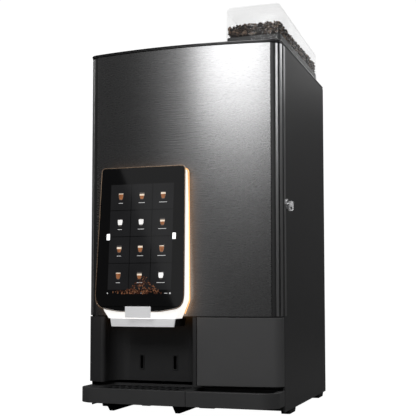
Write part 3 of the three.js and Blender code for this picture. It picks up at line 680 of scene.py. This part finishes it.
def glass_outline(grow=0.0, steps=8):
    """Outline of the glass on its own plane: a bowed foot, wide lower corners and tapering sides."""
    g = grow / MM
    top = GLASS_HEIGHT / MM
    right = [(0, -g, 300), (50, 1.2 - g, 150), (88 + g, 8 - g, 30), (101.5 + g, 17 - g * 0.7, 24),
             (104 + g, 38, 60), (99 + g, top + g, 7 + g)]
    corners = [(x * MM, y * MM, r * MM) for x, y, r in right]
    corners += [(-x, y, r) for x, y, r in reversed(corners[1:])]
    return arc_corners(corners, steps)


def glass_ring(outline, out):
    return [on_glass(p[0], p[1], out) for p in outline]


def screen_face():
    outline = glass_outline(-0.2 * MM)
    bm = bmesh.new()
    loft(bm, [glass_ring(outline, -3 * MM), glass_ring(outline, -0.5 * MM),
              glass_ring(grown(outline, -0.5 * MM), 0)])
    piece = finish_mesh("screen_face", bm, "door", screen_black, angle=20)
    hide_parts("screen_glass")


def screen_rim():
    inner, outer = glass_outline(0.1 * MM), glass_outline(1.6 * MM)
    back, front = -3 * MM, -0.4 * MM
    bm = bmesh.new()
    rows = loft(bm, [glass_ring(inner, back), glass_ring(inner, front), glass_ring(outer, front),
                     glass_ring(outer, back)], cap=False)
    join_rings(bm, rows[0], rows[-1])
    piece = finish_mesh("screen_rim", bm, "door", bronze, 0.3 * MM)
    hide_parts("glass_bezel")


POD_FOOT = 212  # height of the chin's lower edge, in mm


def pod_outline(grow=0.0):
    """Outline of the pod where it meets the door."""
    x = GLASS_FOOT.x
    g = grow / MM
    right = [(87 + g, POD_FOOT, 0), (102 + g, 250, 30), (99.5 + g, 545 + g, 12)]
    corners = [(x + a * MM, z * MM, r * MM) for a, z, r in right]
    corners += [(2 * x - a, z, r) for a, z, r in reversed(corners)]
    return arc_corners(corners, 8)


def pod_shell():
    """Lofted from the door to the back of the glass, with the chin leaning in below it."""
    points = [on_glass(p[0], p[1], -3.3 * MM) for p in glass_outline(-6 * MM)]
    for half, ahead, z in ((80, 26, POD_FOOT), (86, 37, POD_FOOT + 16)):
        for side in (-1, 1):
            points.append(Vector((GLASS_FOOT.x + side * half * MM, NOSE - ahead * MM, z * MM)))
    inside_door = NOSE + 15 * MM
    points += [Vector((p[0], inside_door, p[1])) for p in pod_outline()]
    bm = bmesh.new()
    for p in points:
        bm.verts.new(p)
    bmesh.ops.convex_hull(bm, input=bm.verts)
    loose = [v for v in bm.verts if not v.link_faces]
    bmesh.ops.delete(bm, geom=loose, context="VERTS")
    piece = finish_mesh("pod_shell", bm, "door", lit_white, angle=30)
    cutter = bmesh.new()
    below, above = 150 * MM, 900 * MM  # well past both ends of the pod
    prism_z(cutter, front_outline(LEFT, RIGHT, NOSE + 80 * MM, -0.2 * MM), below, above)
    cut_by(piece, cutter, "door_cutter")
    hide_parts("pod_housing", "display_panel")


def halo_light():
    """The light strip round the pod, on the door; it stops above the chin."""
    outer, inner = pod_outline(1.4 * MM), pod_outline(0.3 * MM)
    front, back = -2 * MM, -0.1 * MM
    bm = bmesh.new()
    rings = [[(p[0], bow_y(p[0], out), p[1]) for p in ring]
             for ring, out in ((outer, back), (outer, front), (inner, front), (inner, back))]
    rows = loft(bm, rings, cap=False)
    join_rings(bm, rows[0], rows[-1])
    bmesh.ops.bisect_plane(bm, geom=bm.verts[:] + bm.edges[:] + bm.faces[:],
                           plane_co=(0, 0, (POD_FOOT + 10) * MM), plane_no=(0, 0, 1), clear_inner=True)
    bmesh.ops.holes_fill(bm, edges=bm.edges)
    piece = finish_mesh("halo_light", bm, "door", amber, 0.2 * MM)
    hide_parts("halo_ring")


def badge_blank():
    lo, hi = ends("badge_plate")
    bm = bmesh.new()
    prism_y(bm, rectangle(lo.x, hi.x, lo.z, hi.z, 1.5 * MM), lo.y, hi.y)
    piece = finish_mesh("badge_blank", bm, "door", badge_grey, 0.6 * MM, 3)
    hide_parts("badge_plate")


def chin_strip():
    """The metal strip under the chin, bowed forward and narrower at its foot."""
    lo, hi = ends("lower_strip")
    x = middle("lower_strip").x
    half_wide = (hi.x - lo.x) / 2
    bow, taper = 4 * MM, 3 * MM

    def ring(half, z):
        front = [(x + half * t, lo.y + bow * t ** 2, z) for t in spread(-1, 1, 20)]
        return [(x + half, hi.y, z), (x - half, hi.y, z)] + front

    bm = bmesh.new()
    loft(bm, [ring(half_wide - taper, lo.z), ring(half_wide, hi.z)])
    piece = finish_mesh("chin_strip", bm, "door", chin_metal, 0.5 * MM)
    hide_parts("lower_strip")


def spout_head():
    """The dark head that holds the outlets, with a recess round them and a neck up into the pod."""
    lo, hi = ends("nozzle_head")
    x = middle("nozzle_head").x
    half = (hi.x - lo.x) / 2

    def outline(h):
        rear = hi.y, 30 * MM
        return arc_corners([(x - h, lo.y), (x + h, lo.y), (x + h, *rear), (x - h, *rear)], 10)

    def block(half_wide, front, rear, radius):
        return rectangle(x - half_wide * MM, x + half_wide * MM, lo.y + front * MM, lo.y + rear * MM,
                         radius * MM)

    top = high("lower_strip").z
    bm = bmesh.new()
    loft(bm, [[(p.x, p.y, lo.z) for p in outline(half - 3 * MM)], [(p.x, p.y, top) for p in outline(half)]])
    piece = finish_mesh("spout_head", bm, "door", dark_plastic)
    cutter = bmesh.new()
    prism_z(cutter, block(34, 26, 62, 8), lo.z - 5 * MM, top - 6 * MM)
    cut_by(piece, cutter, "recess_cutter")
    add_bevel(piece, 1 * MM, 3)
    bm = bmesh.new()
    prism_z(bm, block(54, 30, 58, 2), top - 1 * MM, hi.z)
    neck = finish_mesh("spout_neck", bm, "door", dark_plastic, 0.5 * MM)
    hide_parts("nozzle_head")


def turned(bm, profile, x, y, steps=32):
    """A closed profile of (radius, height) pairs, turned about the vertical through (x, y)."""
    angles = [2 * math.pi * k / steps for k in range(steps)]
    rows = [[(x + r * math.cos(a), y + r * math.sin(a), z) for a in angles] for r, z in profile]
    loft(bm, rows + [rows[0]], cap=False)


def outlet(node):
    """A short spout with a bore, narrower at its mouth."""
    lo, hi = ends(node)
    bore, mouth, body = 3 * MM, 4.5 * MM, 6 * MM
    profile = [(bore, lo.z), (mouth, lo.z), (body, lo.z + 6 * MM), (body, hi.z), (bore, hi.z)]
    bm = bmesh.new()
    turned(bm, profile, middle(node).x, middle(node).y)
    piece = finish_mesh(f"{node}_spout", bm, "door", bright, 0.3 * MM)
    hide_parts(node)


# ---- what the screen shows ----
LAYER = 0.02 * MM  # thickness of each shape


def screen_layer(name, shapes, material, out):
    """Very thin shapes on the glass, each a list of (x, up) points, that read as part of the picture."""
    bm = bmesh.new()
    for shape in shapes:
        loft(bm, [[on_glass(x, up, level) for x, up in shape] for level in (out, out - LAYER)])
    bmesh.ops.recalc_face_normals(bm, faces=bm.faces)
    mesh = mesh_of(name, bm)
    obj = placed(name, mesh)
    mesh.materials.append(material)
    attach(obj, "door")


def shown(name, dark, light, strength, rough=0.08, scale=60.0):
    """A colour that the screen shows, from dark to light in soft patches."""
    material, nodes, links, shader = new_material(name)
    vector = object_coordinates(nodes, links, (1, 1, 1))
    cloud = noise(nodes, links, vector, scale, 2.0)
    colour = tint(nodes, links, cloud, dark, light)
    links.new(colour, shader.inputs["Base Color"])
    links.new(colour, shader.inputs["Emission Color"])
    shader.inputs["Emission Strength"].default_value = strength
    shader.inputs["Roughness"].default_value = rough
    return material


def ellipse(x, up, rx, ry, turn=0.0, steps=12):
    c, s = math.cos(turn), math.sin(turn)
    angles = [2 * math.pi * k / steps for k in range(steps)]
    points = [(rx * math.cos(a), ry * math.sin(a)) for a in angles]
    return [(x + a * c - b * s, up + a * s + b * c) for a, b in points]


def screen_picture():
    left, right, foot_line, top = -76 * MM, 76 * MM, 47.5 * MM, 285 * MM
    gap = 1.6 * MM
    wide, deep = 6.4 * MM, 16 * MM  # half the width of a cup, and its depth
    width, height = (right - left) / 3, (top - foot_line) / 4
    tiles, glasses, coffee, cream, white_cups, labels = [], [], [], [], [], []
    plain_white = {(1, 0), (1, 1), (3, 2)}
    for row in range(4):
        for column in range(3):
            x0, z1 = left + column * width, top - row * height
            tiles.append(rounded_panel(x0 + gap / 2, x0 + width - gap / 2,
                                       z1 - height + gap / 2, z1 - gap / 2))
            x, z = x0 + width / 2, z1 - height * 0.47
            glasses.append(cup_shape(x, z, wide, deep, -0.5, 0.5))
            if (row, column) in plain_white:
                white_cups.append(cup_shape(x, z, wide * 0.95, deep, -0.3, 0.42))
            else:
                level = 0.32 - 0.14 * ((row + 2 * column) % 3)
                coffee.append(cup_shape(x, z, wide * 0.86, deep, -0.42, level))
                cream.append(cup_shape(x, z, wide * 0.92, deep, level, min(level + 0.24, 0.42)))
            reach = (5 + 2.2 * ((row * 3 + column) % 3)) * MM
            labels.append(rectangle_points(x - reach, x + reach, z - 15.8 * MM, z - 14.6 * MM))
    base = foot_line - 7 * MM
    labels.append(ellipse(left + 1 * MM, base, 1.4 * MM, 1.4 * MM))
    for x in (-10, 0, 5):
        labels.append(ellipse(x * MM, base, 0.9 * MM, 0.9 * MM))
    labels.append(rectangle_points(right - 16 * MM, right - 9 * MM, base - 0.7 * MM, base + 0.7 * MM))
    labels.append(ellipse(right - 3 * MM, base, 2 * MM, 2 * MM))
    tabs = [rounded_panel(x - 4 * MM, x + 4 * MM, 159 * MM, 173 * MM) for x in (-78 * MM, 79 * MM)]
    layers = (
        ("screen_tiles", tiles,
         shown("tile_grey", (0.007, 0.007, 0.0075), grey(0.013), 0.6, scale=18)),
        ("screen_glasses", glasses, shown("cup_glass", (0.05, 0.045, 0.042), (0.09, 0.08, 0.075), 0.7)),
        ("screen_coffee", coffee,
         shown("cup_coffee", (0.07, 0.02, 0.008), (0.42, 0.17, 0.07), 0.7, scale=160)),
        ("screen_cream", cream, shown("cup_cream", (0.55, 0.4, 0.28), (0.95, 0.85, 0.72), 0.7, scale=160)),
        ("screen_white_cups", white_cups,
         shown("cup_white", (0.6, 0.58, 0.55), (0.95, 0.95, 0.96), 0.75)),
        ("screen_labels", labels, shown("label_grey", (0.4, 0.4, 0.4), (0.6, 0.6, 0.6), 0.7)),
        ("screen_tabs", tabs, shown("tab_white", (0.9, 0.9, 0.9), (1.0, 1.0, 1.0), 1.0)),
    )
    for i, (name, shapes, material) in enumerate(layers):
        screen_layer(name, shapes, material, (0.05 + 0.03 * i) * MM)  # each layer lies on the one before
    bean_splash(foot_line)


def rounded_panel(x0, x1, z0, z1):
    return [tuple(p) for p in rectangle(x0, x1, z0, z1, 1 * MM, 3)]


def cup_shape(x, z, wide, deep, first, last, steps=5):
    """The part of a rounded glass between two heights, given in parts of its depth."""
    left_side, right_side = [], []
    for t in spread(first, last, steps):
        half = wide * math.sqrt(max(1 - (t - 0.12) ** 2 * 1.9, 0.2)) * (0.9 + 0.2 * t)
        left_side.append((x - half, z + t * deep))
        right_side.append((x + half, z + t * deep))
    return right_side + left_side[::-1]


def rectangle_points(x0, x1, z0, z1):
    return [(x0, z0), (x1, z0), (x1, z1), (x0, z1)]


def bean_splash(foot_line):
    """A generic scatter of beans along the foot of the picture."""
    dice = random.Random(7)
    dark, pale = [], []
    for _ in range(230):
        x = dice.gauss(2, 26) * MM
        limit = 6 + 34 * math.exp(-((x / MM - 8) / 24) ** 2)
        up = foot_line - 8 * MM + dice.random() ** 1.3 * limit * MM
        if abs(x) > 66 * MM:
            continue
        size = dice.uniform(1.0, 2.4) * MM
        shape = ellipse(x, up, size, size * 0.6, dice.uniform(0, math.pi), 8)
        (pale if dice.random() < 0.35 else dark).append(shape)
    dark_look = shown("splash_dark", (0.02, 0.007, 0.004), (0.1, 0.035, 0.018), 0.6, scale=110)
    pale_look = shown("splash_pale", (0.05, 0.017, 0.008), (0.27, 0.12, 0.06), 0.6, scale=110)
    screen_layer("splash_dark", dark, dark_look, 0.28 * MM)
    screen_layer("splash_pale", pale, pale_look, 0.31 * MM)


# ---- bean hopper ----
def hopper_outline(inset):
    """Plan outline of the hopper, inset from its outer walls."""
    lo, hi = ends("hopper_bin")
    corner = 9 * MM
    return rectangle(lo.x + inset, hi.x - inset, lo.y + inset, hi.y - inset, corner - inset / 4, 8)


RIM_FALL = 14 * MM  # from the hopper's front to its back


def hopper_rim(y):
    """Height of the bin's sloping rim at y."""
    lo, hi = ends("hopper_bin")
    return hi.z - (y - lo.y) / (hi.y - lo.y) * RIM_FALL


def hopper_shell():
    """An open clear bin: out along its floor, up the outside, over the rim and down the inside."""
    floor_z = low("hopper_bin").z

    def flat(inset, rise):
        return [(p[0], p[1], floor_z + rise * MM) for p in hopper_outline(inset * MM)]

    def rim(inset):
        return [(p[0], p[1], hopper_rim(p[1])) for p in hopper_outline(inset * MM)]

    bm = bmesh.new()
    loft(bm, [flat(2, 0), flat(0, 2), rim(2), rim(4), flat(2.4, 3)])
    piece = finish_mesh("hopper_shell", bm, "hopper", clear, 0.4 * MM)
    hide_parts("hopper_bin")


def hopper_cap():
    """The domed lid, a shell of about one and a half millimetres."""
    bm = bmesh.new()

    def layer(inset, rise):
        return [(p[0], p[1], hopper_rim(p[1]) + rise * MM) for p in hopper_outline(inset * MM)]

    outside = [(2, 0.3), (2, 3), (3, 7), (7, 11.4), (14, 14), (24, 15)]
    inside = [(26, 13.4), (16, 12.4), (9, 9.6), (5.4, 6), (4.4, 3), (4.4, 0.3)]
    rows = loft(bm, [layer(i, r) for i, r in outside], cap=False)
    bm.faces.new(rows[-1])
    rows_in = loft(bm, [layer(i, r) for i, r in inside], cap=False)
    bm.faces.new(reversed(rows_in[0]))
    join_rings(bm, rows[0], rows_in[-1])
    piece = finish_mesh("hopper_cap", bm, "hopper_lid", clear, angle=50)
    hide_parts("hopper_lid")


BEAN_LAYER = 5 * MM  # height that each layer of beans adds


def bean_mesh(bm, place, turn, size, shade):
    """One roasted bean: a flattened egg with a groove along its flat side."""
    rings, sides = 5, 8
    wide, deep, flat_side, groove = 0.68, 0.5, 0.55, 0.14  # in parts of its half length
    grid = []
    for r in range(1, rings):
        polar = math.pi * r / rings
        row = []
        for s in range(sides):
            around = 2 * math.pi * s / sides
            x = math.cos(polar)
            y = math.sin(polar) * math.cos(around) * wide
            z = math.sin(polar) * math.sin(around) * deep
            if z < 0:
                z *= flat_side
            if abs(y) < 0.1 and z < 0:
                z += groove * math.sin(polar)
            row.append(bm.verts.new(place + turn @ (Vector((x, y, z)) * size)))
        grid.append(row)
    poles = [bm.verts.new(place + turn @ (Vector((sx, 0, 0)) * size)) for sx in (1, -1)]
    faces = []
    for a, b in zip(grid, grid[1:]):
        for s in range(sides):
            t = (s + 1) % sides
            faces.append(bm.faces.new((a[s], b[s], b[t], a[t])))
    for s in range(sides):
        t = (s + 1) % sides
        faces.append(bm.faces.new((poles[0], grid[0][s], grid[0][t])))
        faces.append(bm.faces.new((poles[1], grid[-1][t], grid[-1][s])))
    for f in faces:
        f.material_index = shade


def heap_top(x, y):
    """Height of the topmost beans' middles: more to the right, uneven, and inside the heap's solid."""
    lo, hi = ends("bean_heap")
    across = (x - lo.x) / (hi.x - lo.x)
    ripple = 2.2 * math.sin(x / MM * 0.11) + 1.6 * math.sin(y / MM * 0.07 + 1)
    return min(lo.z + (23 + 18 * across + ripple) * MM, hi.z - BEAN_LAYER)


def coffee_beans():
    """Loose beans over a plain core: stacked in layers at the walls, and two deep elsewhere."""
    lo, hi = ends("bean_heap")
    dice = random.Random(11)
    bm = bmesh.new()
    spacing = 7.4 * MM
    columns = int((hi.x - lo.x) / spacing)
    rows = int((hi.y - lo.y) / spacing)
    margin = 4.2 * MM
    for i in range(columns + 1):
        for j in range(rows + 1):
            x = min(max(lo.x + (i + dice.uniform(-0.3, 0.3)) * spacing, lo.x + margin), hi.x - margin)
            y = min(max(lo.y + (j + dice.uniform(-0.3, 0.3)) * spacing, lo.y + margin), hi.y - margin)
            at_wall = min(i, columns - i, j, rows - j) <= 1
            top = heap_top(x, y)
            layers = max(1, int((top - lo.z) / BEAN_LAYER)) if at_wall else 2
            for k in range(layers):
                z = top - (k + dice.uniform(-0.3, 0.3)) * BEAN_LAYER
                if z < lo.z + 3 * MM:
                    continue
                spin = Matrix.Rotation(dice.uniform(0, 6.28), 3, "Z")
                roll = Matrix.Rotation(dice.gauss(0, 0.6), 3, "X")
                pitch = Matrix.Rotation(dice.gauss(0, 0.6), 3, "Y")
                bean_mesh(bm, Vector((x, y, z)), spin @ roll @ pitch, dice.uniform(4.3, 5.2) * MM,
                          dice.randrange(3))
    inset = 5 * MM
    core = rectangle(lo.x + inset, hi.x - inset, lo.y + inset, hi.y - inset, 6 * MM)
    loft(bm, [[(p[0], p[1], lo.z + 1 * MM) for p in core],
              [(p[0], p[1], heap_top(p[0], p[1]) - 7 * MM) for p in core]])
    mesh = mesh_of("coffee_beans", bm)
    mesh.shade_smooth()
    obj = placed("coffee_beans", mesh)
    for name, dark, light in (("bean_dark", (0.012, 0.006, 0.004), (0.03, 0.016, 0.01)),
                              ("bean_mid", (0.05, 0.027, 0.016), (0.1, 0.058, 0.036)),
                              ("bean_pale", (0.2, 0.13, 0.085), (0.34, 0.24, 0.17))):
        mesh.materials.append(grained(name, dark, light, (0.3, 0.5), grain=400, depth=0.1 * MM))
    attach(obj, "hopper")
    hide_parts("bean_heap")


# ---- CAD nodes that stay, with their material and the width of their bevel in mm ----
KEPT = (
    (paint, 0.3, "side_panel_left", "base_pan"),
    (paint, 0.4, "rear_panel"),
    (steel, 0.2, "powder_auger_left", "powder_auger_right"),
    (steel, 0.3, "internal_shelf", "hinge_pin_top", "hinge_pin_bottom", "grinder_burr", "brew_piston"),
    (steel, 0.4, "inner_frame"),
    (steel, 0.8, "boiler", "water_pump"),
    (rubber, 0.8, "foot_front_left", "foot_front_right", "foot_rear_left", "foot_rear_right"),
    (black_plastic, 0.3, "power_inlet"),
    (black_plastic, 0.4, "hopper_base"),
    (black_plastic, 0.8, "tray_bracket_left", "tray_bracket_right"),
    (bright, 0.2, "lock_barrel"),
    (bright, 0.3, "key_and_cam"),
    (dark_plastic, 0.4, "door_frame"),
    (dark_plastic, 0.5, "brew_unit"),
    (dark_plastic, 0.6, "waste_bin"),
    (dark_plastic, 0.8, "grinder"),
    (white_plastic, 0.4, "mixer_bowl_left", "mixer_bowl_right"),
    (white_plastic, 0.5, "powder_canister_left", "powder_canister_right"),
    (case_grey, 0.5, "power_supply"),
    (brass, 0.4, "water_inlet_valve"),
)


def dress_kept_nodes():
    for material, bevel, *nodes in KEPT:
        for node in nodes:
            obj = bpy.data.objects[node]
            obj.data.materials.clear()
            obj.data.materials.append(material)
            add_bevel(obj, bevel * MM, 2, 30)


# ---- stage, light and camera ----
def stage():
    """A wide white floor, which the camera sees as bright as the backdrop."""
    bm = bmesh.new()
    size = 14.0
    corners = ((-size, -size, 0), (size, -size, 0), (size, size, 0), (-size, size, 0))
    bm.faces.new([bm.verts.new(p) for p in corners])
    mesh = mesh_of("floor", bm)
    floor = placed("floor", mesh)
    material, nodes, links, shader = new_material("floor")
    vector = object_coordinates(nodes, links, (1, 1, 1))
    cloud = noise(nodes, links, vector, 3.0, 2.0)
    links.new(tint(nodes, links, cloud, (0.14, 0.14, 0.14), (0.18, 0.18, 0.18)), shader.inputs["Base Color"])
    shader.inputs["Roughness"].default_value = 0.9
    shader.inputs["Emission Color"].default_value = (1, 1, 1, 1)
    links.new(seen_or(nodes, links, 1.0, 0.0), shader.inputs["Emission Strength"])
    mesh.materials.append(material)


def seen_or(nodes, links, seen_level, lit_level):
    """One level where the camera looks straight at the backdrop, and another where it only lights things."""
    path = nodes.new("ShaderNodeLightPath")
    level = nodes.new("ShaderNodeMapRange")
    level.inputs["To Min"].default_value = lit_level
    level.inputs["To Max"].default_value = seen_level
    links.new(path.outputs["Is Camera Ray"], level.inputs["Value"])
    return level.outputs["Result"]


def softbox(name, azimuth, elevation, distance, size, power, target=(0, 0, 0.5), roll=0):
    """An area light that faces its target; azimuth 0 is straight ahead and 90 the machine's right side."""
    light = bpy.data.lights.new(name, "AREA")
    light.shape = "RECTANGLE"
    light.size, light.size_y = size
    light.energy = power
    obj = placed(name, light)
    a, e = math.radians(azimuth), math.radians(elevation)
    away = Vector((math.sin(a) * math.cos(e), -math.cos(a) * math.cos(e), math.sin(e)))
    obj.location = Vector(target) + away * distance
    facing = (-away).to_track_quat("-Z", "Y") @ Quaternion((0, 0, 1), math.radians(roll))
    obj.rotation_euler = facing.to_euler()


def lights():
    softbox("key_softbox", -3, 20.5, 2.6, (1.15, 1.05), 27.5, (0.12, -0.2, 0.775))
    softbox("left_softbox", -70, 30, 3.0, (1.2, 2.0), 6)
    softbox("corner_softbox", 55, 18, 1.8, (0.45, 0.6), 3.6, (0.1, -0.1, 0.75))
    softbox("right_softbox", 116, 24, 1.7, (0.7, 0.7), 8, (0.1, 0.1, 0.9))
    softbox("top_softbox", 0, 80, 3.0, (2.0, 2.0), 14)
    softbox("back_softbox", 175, 35, 3.2, (1.6, 2.0), 14)
    softbox("stripe_softbox", -20, 14, 3.0, (0.35, 2.4), 1.0, (-0.08, -0.28, 0.4), 24)
    world = bpy.data.worlds.new("studio")
    bpy.context.scene.world = world
    world.use_nodes = True
    nodes, links = world.node_tree.nodes, world.node_tree.links
    background = next(n for n in nodes if n.type == "BACKGROUND")
    seen, lighting = 1.05, 0.075
    links.new(seen_or(nodes, links, seen, lighting), background.inputs["Strength"])
    background.inputs["Color"].default_value = (1, 1, 1, 1)


def camera():
    """A long lens at the front right, at the height of the outlets and tipped up a little."""
    data = bpy.data.cameras.new("camera")
    data.lens, data.sensor_width = 77.44, 36
    data.shift_x, data.shift_y = 0.0097, 0.06
    right, ahead, height = 0.68651, 1.86212, 0.2653
    tip_up, turn_left = 3.913, 18.578  # degrees
    obj = placed("camera", data)
    obj.location = (MID + right, NOSE - ahead, height)
    obj.rotation_euler = (math.radians(90 + tip_up), 0, math.radians(turn_left))
    bpy.context.scene.camera = obj


camera()
stage()
lights()
bpy.context.scene.view_settings.view_transform = "Standard"

door_sheet()
edge_trim(-1, "edge_profile_left")
edge_trim(1, "edge_profile_right")
top_shell()
right_panel()
niche_shell()
sensor_frame("sensor_window_left")
sensor_frame("sensor_window_right")
drawer_face()
drip_tray_body()
drip_grate()
side_tray_body()
screen_face()
screen_rim()
pod_shell()
halo_light()
badge_blank()
chin_strip()
spout_head()
outlet("drink_outlet_left")
outlet("drink_outlet_right")
screen_picture()
hopper_shell()
hopper_cap()
coffee_beans()
dress_kept_nodes()
